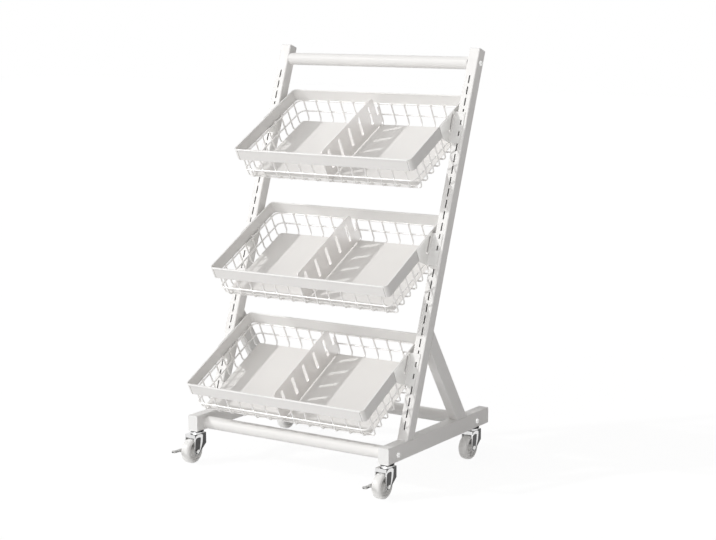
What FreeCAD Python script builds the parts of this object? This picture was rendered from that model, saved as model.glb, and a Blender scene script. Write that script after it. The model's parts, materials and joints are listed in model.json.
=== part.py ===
import FreeCAD, Part
import Sketcher
import math
import os
import re

# Rolling produce stand: two leaning side frames on casters, joined by round bars,
# that carry three tilted wire baskets on hook-in brackets.
# Millimetres, +X to the right, +Y to the back, +Z up, floor at Z = 0.
DIMENSIONS = {
    # side frames
    "stand_width": 600,
    "tube_wall": 1.5,
    "tube_corner": 3,
    "rail_length": 480,
    "rail_width": 30,
    "rail_height": 41,
    "upright_width": 30,
    "upright_depth": 30,
    "upright_setback": 81.5,
    "upright_top": 108.2,
    "lean": 20,
    "brace_width": 25,
    "brace_depth": 40,
    "brace_foot": 323,
    "brace_angle": 34,
    "cap_plate": 3,
    "cap_plug": 4,
    "plug_gap": 0.1,
    # slots for the hooks, one row up the front of each upright
    "slot_first": 36.2,
    "slot_pitch": 28.8,
    "slot_top_margin": 60,
    "slot_length": 21,
    "slot_width": 3.6,
    # round bars across the stand
    "bar_diameter": 32,
    "bar_rise": 17.5,
    "front_bar_setback": 39,
    "rear_bar_inset": 58,
    "handle_diameter": 31.5,
    "handle_drop": 32,
    # fasteners of the bars
    "bolt_diameter": 8,
    "bolt_hole_gap": 0.4,
    "bolt_grip": 12,
    "bolt_head_diameter": 14,
    "bolt_head_height": 2.2,
    "bolt_crown_diameter": 9.5,
    "bolt_crown_height": 1.1,
    "insert_length": 16,
    # baskets, placed by the height of their rear edges up the uprights
    "bottom_basket": 265,
    "middle_basket": 562,
    "top_basket": 869.8,
    "rim_overhang": 39.4,
    "basket_tilt": 27.6,
    "basket_side_gap": 7.5,
    "basket_depth": 300,
    "basket_height": 95,
    "band_height": 32,
    "band_thickness": 2,
    "band_corner": 10,
    "wire_diameter": 4,
    "wire_bend": 10,
    "wire_overlap": 5,
    "weld_gap": 0.05,
    "long_pitch": 39,
    "cross_pitch": 32,
    "upper_ring_rise": 0.5,
    "lower_ring_drop": 63,
    "ring_corner": 15,
    "liner_thickness": 1.5,
    "liner_gap": 0.3,
    "liner_corner": 6,
    # dividers, standing on the liners
    "divider_thickness": 1.5,
    "divider_gap": 0.5,
    "divider_corner": 12,
    "divider_foot": 8,
    "divider_lift": 3,
    "divider_slot_first": 56,
    "divider_slot_pitch": 51,
    "divider_slot_front": 30,
    "divider_slot_top": 12,
    "divider_slot_base": 21,
    "divider_slot_width": 11,
    "divider_top_corner": 12,
    "divider_finger_width": 6.5,
    "divider_finger_top": 35,
    "divider_notch_width": 10,
    "divider_notch_base": 54,
    # sheet brackets
    "bracket_sheet": 2,
    "bracket_gap": 0.5,
    "bracket_drop": 53.7,
    "bracket_corner": 4,
    "bracket_window_front": 16,
    "bracket_window_width": 7,
    "bracket_window_length": 46,
    "bracket_window_drop": 9,
    "flange_margin": 5.7,
    "hook_width": 2.6,
    "hook_height": 8,
    "hook_drop": 7,
    "hook_reach": 102,
    "hook_gap": 0.3,
    "hook_sheet": 2.5,
    "lug_reach": 5.5,
    "lug_gap": 0.3,
    "lug_side_gap": 0.5,
    # casters
    "stem_end_gap": 2.5,
    "stem_rear_inset": 53,
    "stem_diameter": 10,
    "stem_hole_gap": 0.4,
    "stem_spare": 2,
    "nut_across": 17,
    "nut_height": 7,
    "collar_diameter": 34,
    "collar_thickness": 3,
    "swivel_diameter": 12,
    "swivel_gap": 0.3,
    "swivel_head_diameter": 18,
    "swivel_head_height": 2.5,
    "running_gap": 0.05,
    "race_diameter": 32,
    "race_height": 2.7,
    "crown_gap": 8.5,
    "fork_side_gap": 0.5,
    "fork_sheet": 2.5,
    "fork_front": 29,
    "fork_rear": 16,
    "fork_skirt": 28,
    "fork_lip": 9,
    "fork_foot": 9,
    "wheel_trail": 23,
    "wheel_diameter": 63,
    "wheel_width": 26,
    "tread_corner": 6,
    "hub_diameter": 36,
    "hub_recess": 3,
    "hub_boss_diameter": 17,
    "hub_side_gap": 0.2,
    "axle_diameter": 8,
    "axle_head_diameter": 11,
    "axle_head_height": 3,
    # brake pedals of the front casters
    "pedal_reach": 59,
    "pedal_sheet": 2.5,
    "pedal_arm_sheet": 2,
    "pedal_arm_gap": 0.3,
    "pedal_tab_width": 12,
    "pedal_tab_length": 20,
    "pedal_rise": 5,
    "pedal_boss": 7,
    "pedal_tip_corner": 5,
}

LEFT = -1
RIGHT = 1
SIDES = (("left", LEFT), ("right", RIGHT))
TIERS = ("bottom", "middle", "top")

# Share of a width that rounds each corner of a long slot, and of a half width at a round end.
SLOT_ROUNDING = 0.4
END_ROUNDING = 0.9
HEXAGON = 6
FULL_TURN = 360

# Sizes and places that several pieces share, as expressions of the dimensions.
FORK_HALF = "(wheel_width/2 + fork_side_gap + fork_sheet)"
CROWN_TOP = "(wheel_diameter + crown_gap + fork_sheet)"
COLLAR_BASE = f"({CROWN_TOP} + race_height + swivel_gap)"
CASTER_HEIGHT = f"({COLLAR_BASE} + collar_thickness)"
STEM_SETBACKS = {"front": "(cap_plug + stem_end_gap + nut_across/2)",
                 "rear": "(rail_length - stem_rear_inset)"}
BAR_SETBACKS = ("front_bar_setback", "(rail_length - rear_bar_inset)")
RAIL_TOP = f"({CASTER_HEIGHT} + rail_height)"
RAIL_X = "((stand_width - rail_width)/2)"
UPRIGHT_X = "((stand_width - upright_width)/2)"
BRACE_X = "((stand_width - brace_width)/2)"


def rim_along(tier):
    """Place, up the upright, of a basket's rear edge."""
    return f"{TIERS[tier]}_basket"


def hook_along(tier):
    """Place, up the upright, of the slot that takes a bracket's lower hook."""
    return f"(slot_first + slot_pitch*round(({rim_along(tier)} - hook_reach - slot_first)/slot_pitch))"


def rim_back(tier):
    """Distance of a basket's rear edge behind the foot of the uprights."""
    return f"({rim_along(tier)}*sin(lean) + rim_overhang*cos(lean))"


# the origin is under the middle of the box, from the foremost of the baskets and pedals to the rear caps
BASKET_FRONT = f"(upright_setback + {rim_back(0)} - basket_depth*cos(basket_tilt))"
PEDAL_FRONT = f"({STEM_SETBACKS['front']} - wheel_trail - pedal_reach)"
RAIL_FRONT = f"(-(rail_length + cap_plate + min({BASKET_FRONT}; {PEDAL_FRONT}))/2)"
FOOT_Y = f"({RAIL_FRONT} + upright_setback)"
UPRIGHT_LENGTH = f"({rim_along(len(TIERS) - 1)} + upright_top)"
SLOT_COUNT = f"(floor(({UPRIGHT_LENGTH} - slot_top_margin - slot_first)/slot_pitch) + 1)"
HANDLE_ALONG = f"({UPRIGHT_LENGTH} - handle_drop)"
HANDLE_Y = f"({FOOT_Y} + {HANDLE_ALONG}*sin(lean) + upright_depth/2*cos(lean))"
HANDLE_Z = f"({RAIL_TOP} + {HANDLE_ALONG}*cos(lean) - upright_depth/2*sin(lean))"
RAIL_BAR_SPOTS = [(f"({RAIL_FRONT} + {setback})", f"({CASTER_HEIGHT} + bar_rise)")
                  for setback in BAR_SETBACKS]
BAR_JOINTS = ((RAIL_BAR_SPOTS, "rail_width", "bar_diameter"),
              ([(HANDLE_Y, HANDLE_Z)], "upright_width", "handle_diameter"))
# angle between an upright and the side edge of a basket's rim
RIM_ANGLE = "(90 - lean - basket_tilt)"
BASKET_WIDTH = "(stand_width - 2*upright_width - 2*basket_side_gap)"
# basket wires: distances of their centre lines from the rim's outer faces
RING_INSET = "(band_thickness + weld_gap + wire_diameter/2)"
LONG_INSET = f"({RING_INSET} + wire_diameter + weld_gap)"
CROSS_HALF = f"({BASKET_WIDTH}/2 - {RING_INSET})"
RING_HALF = f"({CROSS_HALF} - wire_diameter - weld_gap)"
LONG_SPAN = f"(2*long_pitch*floor(({RING_HALF} - ring_corner)/long_pitch))"
CROSS_SPAN = f"(2*cross_pitch*floor((basket_depth/2 - {RING_INSET} - ring_corner)/cross_pitch))"
UPPER_RING_DROP = "(band_height - upper_ring_rise)"
WIRE_TOP = "(band_height - wire_overlap)"
LONG_FLOOR = "(basket_height - 1.5*wire_diameter - weld_gap)"
CROSS_FLOOR = "(basket_height - wire_diameter/2)"
LINER_BASE = "(basket_height - 2*wire_diameter - 2*weld_gap)"
BRACKET_INNER = f"({BASKET_WIDTH}/2 + bracket_gap)"
AXLE_Z = "(wheel_diameter/2)"
ARM_INNER = f"({FORK_HALF} + pedal_arm_gap)"
ARM_OUTER = f"({ARM_INNER} + pedal_arm_sheet)"

V = FreeCAD.Vector
X_AXIS = V(1, 0, 0)
Z_AXIS = V(0, 0, 1)
ORIGIN = (-1, 1)
START = 1
END = 2
CENTRE = 3
FUNCTIONS = ("sin", "cos", "tan", "min", "floor", "round")

doc = FreeCAD.newDocument("ProduceStand")
sheet = doc.addObject("Spreadsheet::Sheet", "Dims")
for row, (alias, size) in enumerate(DIMENSIONS.items(), start=1):
    sheet.set(f"A{row}", alias)
    sheet.set(f"B{row}", str(size))
    sheet.setAlias(f"B{row}", alias)
doc.recompute()

sub_parts = []


def cells(text):
    """Turn each dimension's word into a reference to its cell."""
    def reference(found):
        word = found.group()
        return word if word in FUNCTIONS else f"Dims.{word}"
    return re.sub(r"[a-z]\w*", reference, str(text))


def measure(text):
    return float(sheet.evalExpression(cells(text)))


def bind(item, path, text):
    item.setExpression(path, cells(text))


def origin_feature(body, role):
    return [item for item in body.Origin.OriginFeatures if item.Role == role][0]


def place(item, x="0", y="0", z="0", turn=None):
    """Bind an object's place, and its turn about X in degrees where it has one."""
    if turn is not None:
        item.Placement = FreeCAD.Placement(V(0, 0, 0), FreeCAD.Rotation(X_AXIS, measure(turn)))
        bind(item, "Placement.Rotation.Angle", turn)
    bind(item, "Placement.Base.x", x)
    bind(item, "Placement.Base.y", y)
    bind(item, "Placement.Base.z", z)


def new_body(label, **where):
    body = doc.addObject("PartDesign::Body", label)
    body.Label = label
    place(body, **where)
    sub_parts.append(body)
    return body


def new_sketch(body, role, offset="0"):
    sketch = body.newObject("Sketcher::SketchObject", "Sketch")
    sketch.AttachmentSupport = [(origin_feature(body, role), "")]
    sketch.MapMode = "FlatFace"
    bind(sketch, "AttachmentOffset.Base.z", offset)
    return sketch


def size_constraint(sketch, text, kind, *where):
    index = sketch.addConstraint(Sketcher.Constraint(kind, *where, measure(text)))
    bind(sketch, f"Constraints[{index}]", text)


def pin(sketch, geometry, point, x, y):
    size_constraint(sketch, x, "DistanceX", *ORIGIN, geometry, point)
    size_constraint(sketch, y, "DistanceY", *ORIGIN, geometry, point)


def circle(sketch, x, y, diameter):
    centre = V(measure(x), measure(y), 0)
    item = sketch.addGeometry(Part.Circle(centre, Z_AXIS, measure(diameter)/2))
    pin(sketch, item, CENTRE, x, y)
    size_constraint(sketch, diameter, "Diameter", item)


def corner_cut(spots, i, radius):
    """Tangent points and centre of the arc that rounds one corner."""
    back = (spots[i - 1] - spots[i]).normalize()
    ahead = (spots[(i + 1) % len(spots)] - spots[i]).normalize()
    reach = radius/math.tan(back.getAngle(ahead)/2)
    centre = spots[i] + (back + ahead).normalize()*math.hypot(reach, radius)
    return spots[i] + back*reach, spots[i] + ahead*reach, centre


def rounded_corner(sketch, before, after, corner, spot, cut):
    first, last, centre = cut
    x, y, radius = corner
    start = math.atan2(first.y - centre.y, first.x - centre.x)
    stop = math.atan2(last.y - centre.y, last.x - centre.x)
    turns_left = (last - first).cross(centre - first).z > 0
    if not turns_left:
        start, stop = stop, start
    ring = Part.Circle(centre, Z_AXIS, measure(radius))
    arc = sketch.addGeometry(Part.ArcOfCircle(ring, start, stop))
    arc_in, arc_out = (START, END) if turns_left else (END, START)
    mark = sketch.addGeometry(Part.Point(spot), True)
    sketch.addConstraint(Sketcher.Constraint("Tangent", before, END, arc, arc_in))
    sketch.addConstraint(Sketcher.Constraint("Tangent", arc, arc_out, after, START))
    sketch.addConstraint(Sketcher.Constraint("PointOnObject", mark, START, before))
    sketch.addConstraint(Sketcher.Constraint("PointOnObject", mark, START, after))
    pin(sketch, mark, START, x, y)
    size_constraint(sketch, radius, "Radius", arc)


def outline(sketch, corners, closed=True):
    """Draw lines through corners given as (x, y) or, rounded, as (x, y, radius)."""
    spots = [V(measure(corner[0]), measure(corner[1]), 0) for corner in corners]
    cuts = []
    for i, corner in enumerate(corners):
        if len(corner) == 2:
            cuts.append((spots[i], spots[i], None))
        else:
            cuts.append(corner_cut(spots, i, measure(corner[2])))
    count = len(corners)
    edges = count if closed else count - 1
    lines = []
    for i in range(edges):
        segment = Part.LineSegment(cuts[i][1], cuts[(i + 1) % count][0])
        lines.append(sketch.addGeometry(segment))
    for i, corner in enumerate(corners):
        before = lines[i - 1] if closed or i > 0 else None
        after = lines[i] if i < edges else None
        if len(corner) == 3:
            rounded_corner(sketch, before, after, corner, spots[i], cuts[i])
        elif after is None:
            pin(sketch, before, END, *corner)
        else:
            pin(sketch, after, START, *corner)
            if before is not None:
                sketch.addConstraint(Sketcher.Constraint("Coincident", before, END, after, START))


def rectangle(sketch, x0, x1, y0, y1, radius=None):
    corners = [(x0, y0), (x1, y0), (x1, y1), (x0, y1)]
    if radius is not None:
        corners = [(x, y, radius) for x, y in corners]
    outline(sketch, corners)


def extrude(body, kind, sketch, length, reverse=False, both=False):
    feature = body.newObject(f"PartDesign::{kind}", kind)
    feature.Profile = sketch
    feature.Reversed = reverse
    if both:
        feature.SideType = "Symmetric"
    if length is None:
        feature.Type = "ThroughAll"
    else:
        bind(feature, "Length", length)
    return feature


def pad(body, sketch, length, reverse=False, both=False):
    return extrude(body, "Pad", sketch, length, reverse, both)


def pocket(body, sketch, length=None, reverse=False, both=False):
    return extrude(body, "Pocket", sketch, length, reverse, both)


def pipe(body, path, profile):
    feature = body.newObject("PartDesign::AdditivePipe", "Pipe")
    feature.Profile = profile
    feature.Spine = (path, [])
    return feature


def repeat(body, feature, axis, pitch, count, reverse=False):
    doc.recompute()
    pattern = body.newObject("PartDesign::LinearPattern", "Row")
    pattern.Originals = [feature]
    pattern.Direction = (origin_feature(body, axis), [""])
    pattern.Reversed = reverse
    bind(pattern, "Length", f"{pitch}*({count} - 1)")
    bind(pattern, "Occurrences", count)
    body.Tip = pattern


def mirror(body, features):
    doc.recompute()
    copy = body.newObject("PartDesign::Mirrored", "OtherSide")
    copy.Originals = features
    copy.MirrorPlane = (origin_feature(body, "YZ_Plane"), [""])
    body.Tip = copy


def revolve(body, sketch, axis):
    feature = body.newObject("PartDesign::Revolution", "Turned")
    feature.Profile = sketch
    feature.ReferenceAxis = (origin_feature(body, axis), [""])
    feature.Angle = FULL_TURN
    return feature


def tube_section(sketch, x0, x1, y0, y1):
    """Hollow rectangle with rounded corners."""
    rectangle(sketch, x0, x1, y0, y1, "tube_corner")
    rectangle(sketch, f"{x0} + tube_wall", f"{x1} - tube_wall", f"{y0} + tube_wall", f"{y1} - tube_wall",
              "tube_corner - tube_wall")


def cap_sections(plates, plugs, middle, width, y0, y1):
    """Outlines of one end cap: a plate as large as the tube, and a plug that fits inside it."""
    inset = "(tube_wall + plug_gap)"
    x0 = f"{middle} - {width}/2"
    x1 = f"{middle} + {width}/2"
    rectangle(plates, x0, x1, y0, y1, "tube_corner")
    rectangle(plugs, f"{x0} + {inset}", f"{x1} - {inset}", f"{y0} + {inset}", f"{y1} - {inset}",
              f"tube_corner - {inset}")


def base_rail(side, sign):
    """Square-ended box tube from front to back, with bolt and caster holes."""
    body = new_body(f"base_rail_{side}", x=f"{sign}*{RAIL_X}", y=RAIL_FRONT, z=CASTER_HEIGHT)
    section = new_sketch(body, "XZ_Plane")
    tube_section(section, "-rail_width/2", "rail_width/2", "0", "rail_height")
    pad(body, section, "rail_length", reverse=True)
    bolts = new_sketch(body, "YZ_Plane")
    for setback in BAR_SETBACKS:
        circle(bolts, setback, "bar_rise", "bolt_diameter + bolt_hole_gap")
    pocket(body, bolts, both=True)
    stems = new_sketch(body, "XY_Plane")
    for setback in STEM_SETBACKS.values():
        circle(stems, "0", setback, "stem_diameter + stem_hole_gap")
    pocket(body, stems, "tube_wall", reverse=True)


def rail_caps():
    """Plastic end caps: a plate over each rail end and a short plug inside it."""
    body = new_body("rail_end_caps", y=RAIL_FRONT, z=CASTER_HEIGHT)
    for end, is_rear in (("0", False), ("-rail_length", True)):
        plates = new_sketch(body, "XZ_Plane", end)
        plugs = new_sketch(body, "XZ_Plane", end)
        for _, sign in SIDES:
            cap_sections(plates, plugs, f"{sign}*{RAIL_X}", "rail_width", "0", "rail_height")
        pad(body, plates, "cap_plate", reverse=is_rear)
        pad(body, plugs, "cap_plug", reverse=not is_rear)


def upright(side, sign):
    """Leaning box tube with its foot cut level and a row of hook slots in front."""
    body = new_body(f"upright_{side}", x=f"{sign}*{UPRIGHT_X}", y=FOOT_Y, z=RAIL_TOP, turn="-lean")
    section = new_sketch(body, "XY_Plane")
    tube_section(section, "-upright_width/2", "upright_width/2", "0", "upright_depth")
    pad(body, section, UPRIGHT_LENGTH)
    foot = new_sketch(body, "YZ_Plane")
    outline(foot, [("0", "0"), ("upright_depth", "0"), ("upright_depth", "upright_depth*tan(lean)")])
    pocket(body, foot, both=True)
    bolt = new_sketch(body, "YZ_Plane")
    circle(bolt, "upright_depth/2", HANDLE_ALONG, "bolt_diameter + bolt_hole_gap")
    pocket(body, bolt, both=True)
    slot = new_sketch(body, "XZ_Plane")
    rectangle(slot, "-slot_width/2", "slot_width/2", "slot_first - slot_length/2",
              "slot_first + slot_length/2", f"{SLOT_ROUNDING}*slot_width")
    cut = pocket(body, slot, "tube_wall")
    repeat(body, cut, "Z_Axis", "slot_pitch", SLOT_COUNT)


def upright_caps():
    body = new_body("upright_caps", y=FOOT_Y, z=RAIL_TOP, turn="-lean")
    plates = new_sketch(body, "XY_Plane", UPRIGHT_LENGTH)
    plugs = new_sketch(body, "XY_Plane", UPRIGHT_LENGTH)
    for _, sign in SIDES:
        cap_sections(plates, plugs, f"{sign}*{UPRIGHT_X}", "upright_width", "0", "upright_depth")
    pad(body, plates, "cap_plate")
    pad(body, plugs, "cap_plug", reverse=True)


def rear_brace(side, sign):
    """Sloping box tube, cut level on the rail and flush on the upright's rear face."""
    body = new_body(f"rear_brace_{side}", x=f"{sign}*{BRACE_X}", y=f"{RAIL_FRONT} + brace_foot", z=RAIL_TOP,
                    turn="brace_angle")
    drop = "(brace_depth*tan(brace_angle))"
    ahead = "((brace_foot - upright_setback)*cos(lean) - upright_depth)"
    low_top = f"({ahead}/sin(brace_angle + lean))"
    high_top = f"({low_top} + brace_depth/tan(brace_angle + lean))"
    section = new_sketch(body, "XY_Plane", f"-{drop}")
    tube_section(section, "-brace_width/2", "brace_width/2", "0", "brace_depth")
    pad(body, section, f"{high_top} + {drop}")
    ends = new_sketch(body, "YZ_Plane")
    outline(ends, [("0", "0"), ("0", f"-{drop}"), ("brace_depth", f"-{drop}")])
    outline(ends, [("0", low_top), ("brace_depth", high_top), ("0", high_top)])
    pocket(body, ends, both=True)


def round_bar(label, y, z, diameter, length):
    body = new_body(label, y=y, z=z)
    section = new_sketch(body, "YZ_Plane")
    circle(section, "0", "0", diameter)
    circle(section, "0", "0", f"{diameter} - 2*tube_wall")
    pad(body, section, length, both=True)


def bar_inserts():
    """Threaded plugs in both ends of each round bar."""
    body = new_body("bar_inserts")
    plugs = []
    for spots, width, diameter in BAR_JOINTS:
        section = new_sketch(body, "YZ_Plane", f"stand_width/2 - {width}")
        for y, z in spots:
            circle(section, y, z, f"{diameter} - 2*tube_wall - 2*plug_gap")
            circle(section, y, z, "bolt_diameter + plug_gap")
        plugs.append(pad(body, section, "insert_length", reverse=True))
    mirror(body, plugs)


def frame_bolts():
    """Button-head bolts through the rails and uprights into the bars."""
    body = new_body("frame_bolts")
    pieces = []
    for spots, width, _ in BAR_JOINTS:
        shank = new_sketch(body, "YZ_Plane", "stand_width/2")
        head = new_sketch(body, "YZ_Plane", "stand_width/2")
        crown = new_sketch(body, "YZ_Plane", "stand_width/2 + bolt_head_height")
        for y, z in spots:
            circle(shank, y, z, "bolt_diameter")
            circle(head, y, z, "bolt_head_diameter")
            circle(crown, y, z, "bolt_crown_diameter")
        pieces.append(pad(body, shank, f"{width} + bolt_grip", reverse=True))
        pieces.append(pad(body, head, "bolt_head_height"))
        pieces.append(pad(body, crown, "bolt_crown_height"))
    mirror(body, pieces)


def rim_spot(tier, depth, height):
    """A point of the basket's side, as (behind the upright's face, up the upright)."""
    back = f"rim_overhang - ({depth})*sin({RIM_ANGLE}) - ({height})*cos({RIM_ANGLE})"
    along = f"{rim_along(tier)} - ({depth})*cos({RIM_ANGLE}) + ({height})*sin({RIM_ANGLE})"
    return back, along


def bracket(tier, side, sign):
    """Bent sheet bracket: cheek beside the band, flange with hooks, lugs under the band."""
    body = new_body(f"bracket_{TIERS[tier]}_{side}", y=FOOT_Y, z=RAIL_TOP, turn="-lean")
    inner = f"{sign}*{BRACKET_INNER}"
    is_left = sign == LEFT
    front_depth = "basket_depth/2"
    lug_top = "(-band_height - lug_gap)"
    lug_base = f"({lug_top} - bracket_sheet)"
    top = f"({rim_along(tier)} - bracket_drop)"
    top_depth = f"(bracket_drop/cos({RIM_ANGLE}))"
    base = rim_spot(tier, front_depth, lug_base)[1]
    cheek = new_sketch(body, "YZ_Plane", inner)
    outline(cheek, [(*rim_spot(tier, front_depth, "0"), "bracket_corner"),
                    (*rim_spot(tier, front_depth, lug_base), "bracket_corner"),
                    ("0", base), ("0", top), rim_spot(tier, top_depth, "0")])
    pad(body, cheek, "bracket_sheet", reverse=is_left)
    flange = new_sketch(body, "XZ_Plane")
    outer = f"{sign}*({UPRIGHT_X} + slot_width/2 + flange_margin)"
    ends = (outer, inner) if is_left else (inner, outer)
    rectangle(flange, *ends, base, top)
    pad(body, flange, "bracket_sheet")
    for depth in ("(basket_depth/2 - 0.5*cross_pitch)", "(basket_depth/2 - 1.5*cross_pitch)"):
        half = "(cross_pitch/2 - wire_diameter/2 - lug_side_gap)"
        rear = f"{depth} - {half}"
        front = f"{depth} + {half}"
        lug = new_sketch(body, "YZ_Plane", inner)
        outline(lug, [rim_spot(tier, rear, lug_top), rim_spot(tier, front, lug_top),
                      rim_spot(tier, front, lug_base), rim_spot(tier, rear, lug_base)])
        pad(body, lug, "lug_reach", reverse=not is_left)
    window = new_sketch(body, "YZ_Plane")
    rectangle(window, "-bracket_window_front", "bracket_window_width - bracket_window_front",
              f"{top} - bracket_window_drop - bracket_window_length", f"{top} - bracket_window_drop",
              f"{SLOT_ROUNDING}*bracket_window_width")
    pocket(body, window, both=True)
    for step in (0, 1):
        slot = f"({hook_along(tier)} + {step}*slot_pitch)"
        seat = f"({slot} - slot_length/2 + hook_gap)"
        peep = new_sketch(body, "XZ_Plane")
        middle = f"{sign}*{UPRIGHT_X}"
        rectangle(peep, f"{middle} - slot_width/2", f"{middle} + slot_width/2",
                  f"{seat} + hook_height + hook_gap", f"{slot} + slot_length/2")
        pocket(body, peep, "bracket_sheet", reverse=True)
        hook = new_sketch(body, "YZ_Plane", middle)
        back = "(tube_wall + hook_gap)"
        tip = f"({back} + hook_sheet)"
        outline(hook, [("-bracket_sheet", seat), (back, seat), (back, f"{seat} - hook_drop"),
                       (tip, f"{seat} - hook_drop"), (tip, f"{seat} + hook_height"),
                       ("-bracket_sheet", f"{seat} + hook_height")])
        pad(body, hook, "hook_width", both=True)


def basket_place(tier):
    return {"y": f"{FOOT_Y} + {rim_back(tier)}",
            "z": f"{RAIL_TOP} + {rim_along(tier)}*cos(lean) - rim_overhang*sin(lean)",
            "turn": "basket_tilt"}


def basket_rim(tier):
    """Flat steel band, bent round into a rounded rectangle."""
    body = new_body(f"basket_{TIERS[tier]}_rim", **basket_place(tier))
    band = new_sketch(body, "XY_Plane")
    rectangle(band, f"-{BASKET_WIDTH}/2", f"{BASKET_WIDTH}/2", "-basket_depth", "0", "band_corner")
    rectangle(band, f"band_thickness - {BASKET_WIDTH}/2", f"{BASKET_WIDTH}/2 - band_thickness",
              "band_thickness - basket_depth", "-band_thickness", "band_corner - band_thickness")
    pad(body, band, "band_height", reverse=True)


def basket_rings(tier):
    """Two wire hoops: one inside the band's lower edge, one half way down the walls."""
    body = new_body(f"basket_{TIERS[tier]}_hoops", **basket_place(tier))
    for drop in (UPPER_RING_DROP, "lower_ring_drop"):
        path = new_sketch(body, "XY_Plane", f"-{drop}")
        rectangle(path, f"-{RING_HALF}", RING_HALF, f"{RING_INSET} - basket_depth",
                  f"-{RING_INSET}", "ring_corner")
        section = new_sketch(body, "YZ_Plane", f"ring_corner - {RING_HALF}")
        circle(section, f"{RING_INSET} - basket_depth", f"-{drop}", "wire_diameter")
        pipe(body, path, section)


def basket_long_wires(tier):
    """U-shaped wires from the front wall, under the load, to the rear wall."""
    body = new_body(f"basket_{TIERS[tier]}_long_wires", **basket_place(tier))
    front = f"{LONG_INSET} - basket_depth"
    path = new_sketch(body, "YZ_Plane", f"-{LONG_SPAN}/2")
    outline(path, [(front, f"-{WIRE_TOP}"), (front, f"-{LONG_FLOOR}", "wire_bend"),
                   (f"-{LONG_INSET}", f"-{LONG_FLOOR}", "wire_bend"),
                   (f"-{LONG_INSET}", f"-{WIRE_TOP}")], closed=False)
    section = new_sketch(body, "XY_Plane", f"-{WIRE_TOP}")
    circle(section, f"-{LONG_SPAN}/2", front, "wire_diameter")
    repeat(body, pipe(body, path, section), "X_Axis", "long_pitch", f"({LONG_SPAN}/long_pitch + 1)")


def basket_cross_wires(tier):
    """U-shaped wires from side to side, just under the long ones."""
    body = new_body(f"basket_{TIERS[tier]}_cross_wires", **basket_place(tier))
    first = f"(basket_depth + {CROSS_SPAN})/2"
    path = new_sketch(body, "XZ_Plane", first)
    outline(path, [(f"-{CROSS_HALF}", f"-{WIRE_TOP}"), (f"-{CROSS_HALF}", f"-{CROSS_FLOOR}", "wire_bend"),
                   (CROSS_HALF, f"-{CROSS_FLOOR}", "wire_bend"), (CROSS_HALF, f"-{WIRE_TOP}")],
            closed=False)
    section = new_sketch(body, "XY_Plane", f"-{WIRE_TOP}")
    circle(section, f"-{CROSS_HALF}", f"-{first}", "wire_diameter")
    repeat(body, pipe(body, path, section), "Y_Axis", "cross_pitch", f"({CROSS_SPAN}/cross_pitch + 1)")


def basket_liner(tier):
    """Flat panel lying on the long wires."""
    body = new_body(f"basket_{TIERS[tier]}_liner", **basket_place(tier))
    half = f"({CROSS_HALF} - wire_bend - liner_gap)"
    end = f"({LONG_INSET} + wire_bend + liner_gap)"
    panel = new_sketch(body, "XY_Plane", f"-{LINER_BASE}")
    rectangle(panel, f"-{half}", half, f"{end} - basket_depth", f"-{end}", "liner_corner")
    pad(body, panel, "liner_thickness")


def basket_divider(tier):
    """Slotted sheet on two feet, with a notch behind its rear edge that leaves a finger."""
    body = new_body(f"basket_{TIERS[tier]}_divider", **basket_place(tier))
    end = f"({LONG_INSET} + wire_diameter/2 + divider_gap)"
    front = f"{end} - basket_depth"
    base = f"(liner_thickness + liner_gap - {LINER_BASE})"
    profile = new_sketch(body, "YZ_Plane")
    arch = f"({base} + divider_lift)"
    front_foot = f"{front} + divider_corner + divider_foot"
    rear_foot = f"-{end} - divider_corner - divider_foot"
    finger = f"-{end} - divider_finger_width"
    rear = f"{finger} - divider_notch_width"
    outline(profile, [(front, "0", "divider_corner/2"), (front, base, "divider_corner"),
                      (front_foot, base), (front_foot, arch), (rear_foot, arch), (rear_foot, base),
                      (f"-{end}", base, "divider_corner"), (f"-{end}", "-divider_finger_top"),
                      (finger, "-divider_finger_top"), (finger, "-divider_notch_base"),
                      (rear, "-divider_notch_base"), (rear, "0", "divider_top_corner")])
    pad(body, profile, "divider_thickness", both=True)
    slot = new_sketch(body, "YZ_Plane")
    rectangle(slot, "-divider_slot_first - divider_slot_width/2",
              "divider_slot_width/2 - divider_slot_first", f"{base} + divider_slot_base",
              "-divider_slot_top", f"{SLOT_ROUNDING}*divider_slot_width")
    run = "(basket_depth - divider_slot_first - divider_slot_front)"
    repeat(body, pocket(body, slot, both=True), "Y_Axis", "divider_slot_pitch",
           f"(floor({run}/divider_slot_pitch) + 1)", reverse=True)


STEM_SPOTS = [(f"{sign}*{RAIL_X}", f"({RAIL_FRONT} + {setback})")
              for setback in STEM_SETBACKS.values() for _, sign in SIDES]


def caster_stems():
    """Fixed half of each caster: swivel post, collar under the rail, threaded stem."""
    body = new_body("caster_stems")
    head_top = f"({CROWN_TOP} - fork_sheet - swivel_gap)"
    steps = (("stem_diameter", CASTER_HEIGHT, "tube_wall + nut_height + stem_spare", False),
             ("collar_diameter", CASTER_HEIGHT, "collar_thickness", True),
             ("swivel_diameter", COLLAR_BASE, f"{COLLAR_BASE} - {head_top} + swivel_head_height", True),
             ("swivel_head_diameter", head_top, "swivel_head_height", True))
    for diameter, height, length, is_down in steps:
        section = new_sketch(body, "XY_Plane", height)
        for x, y in STEM_SPOTS:
            circle(section, x, y, diameter)
        pad(body, section, length, reverse=is_down)


def stem_nuts():
    """Hexagon nuts inside the rails."""
    body = new_body("stem_nuts")
    section = new_sketch(body, "XY_Plane", f"{CASTER_HEIGHT} + tube_wall")
    reach = f"nut_across/2/cos({FULL_TURN/HEXAGON/2})"
    for x, y in STEM_SPOTS:
        turns = [FULL_TURN*i/HEXAGON for i in range(HEXAGON)]
        outline(section, [(f"{x} + {reach}*cos({turn})", f"{y} + {reach}*sin({turn})") for turn in turns])
        circle(section, x, y, "stem_diameter + 2*running_gap")
    pad(body, section, "nut_height")


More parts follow.
